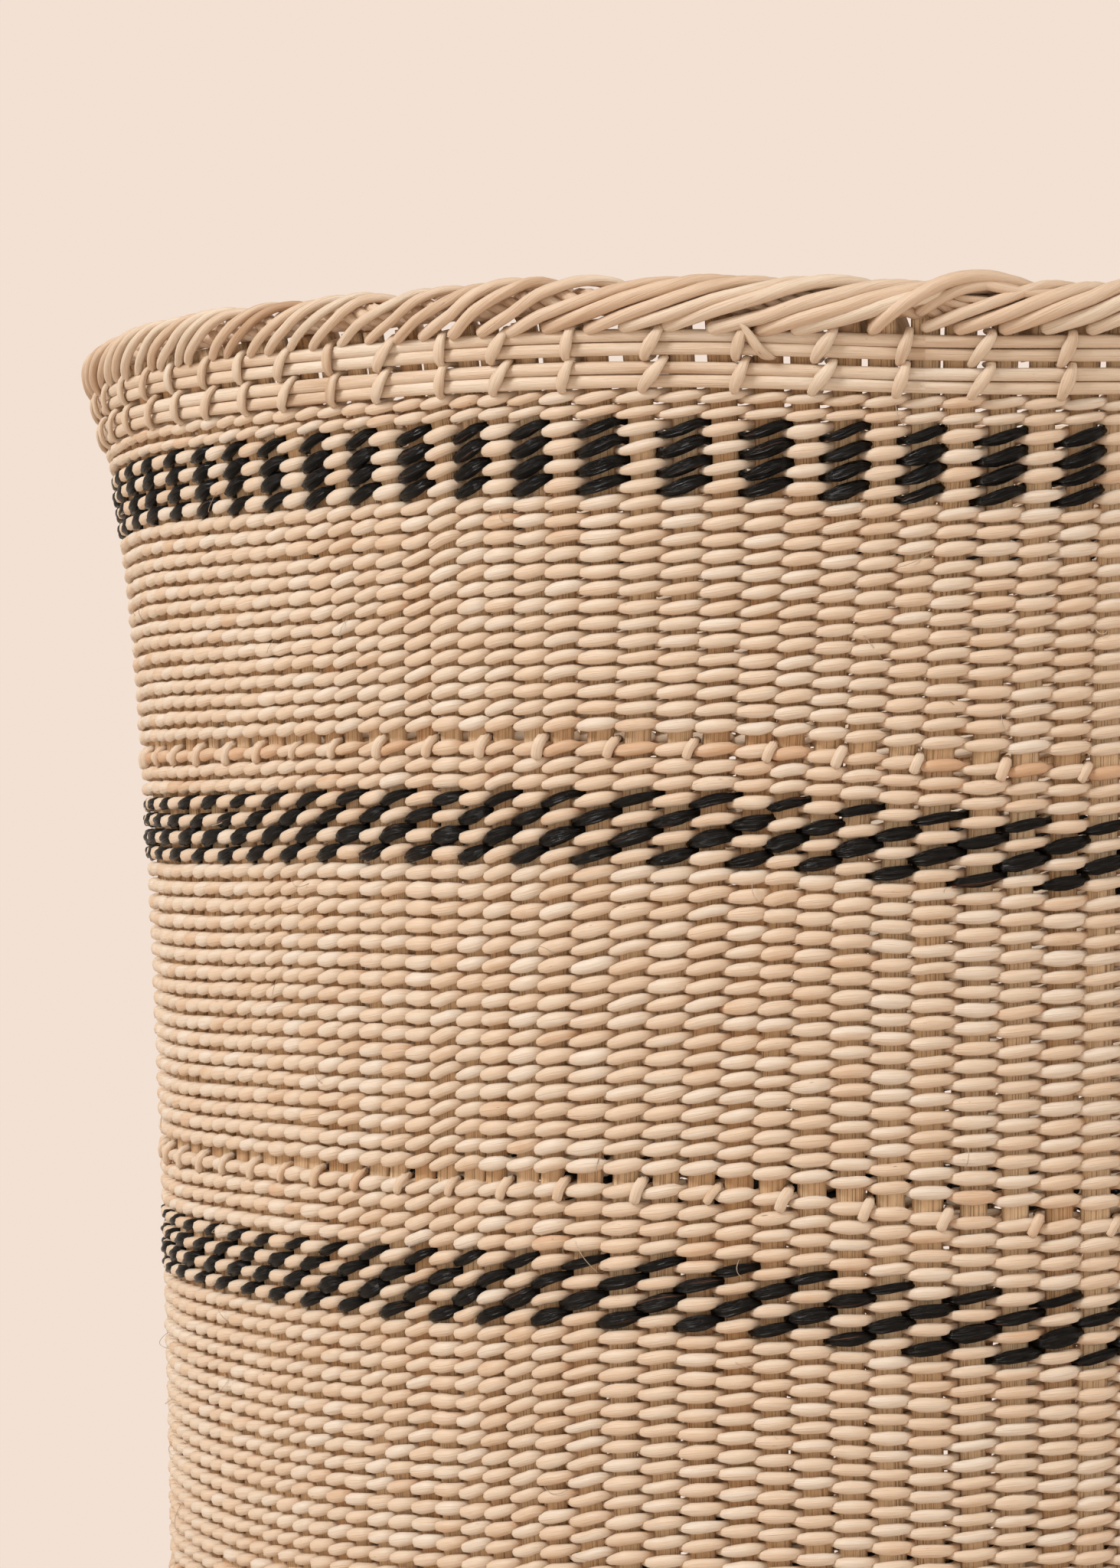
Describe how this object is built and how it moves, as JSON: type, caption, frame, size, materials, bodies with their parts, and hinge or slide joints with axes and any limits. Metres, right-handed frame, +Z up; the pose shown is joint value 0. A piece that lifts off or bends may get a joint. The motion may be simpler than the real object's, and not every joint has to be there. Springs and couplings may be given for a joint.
{
  "type": "burden basket",
  "caption": "Tall round burden basket, twined in pale cane over flat stakes, with black woven bands, two pairs of lashed hoops and a rolled border.",
  "frame": {"origin": "middle of the basket's flat underside, on the surface it stands on", "axes": "+Z up through the middle of the mouth; -Y is the side the picture shows"},
  "size_m": [0.4586, 0.457, 0.474],
  "materials": {
    "cane": "satin",
    "hoop_cane": "satin",
    "stake": "matte",
    "black_palm": "satin"
  },
  "bodies": {
    "root": {"stakes_east_west": "stake", "stakes_north_south": "stake", "base_weave_outer": "cane", "base_weave_inner": "cane", "base_turn_outer": "cane", "base_turn_inner": "cane", "upper_lashing": "hoop_cane", "lower_lashing": "hoop_cane", "border_roll": "cane", "border_splice": "cane", "top_weave": "cane", "black_band_1": "black_palm", "natural_weave_upper": "cane", "black_band_2": "black_palm", "natural_weave_middle": "cane", "black_band_3": "black_palm", "natural_weave_lower": "cane", "black_band_4": "black_palm", "foot_weave": "cane", "inner_weave_upper": "cane", "inner_weave_middle": "cane", "inner_weave_lower": "cane", "upper_pair_top_hoop": "hoop_cane", "upper_pair_bottom_hoop": "hoop_cane", "lower_pair_top_hoop": "hoop_cane", "lower_pair_bottom_hoop": "hoop_cane"}
  },
  "joints": []
}
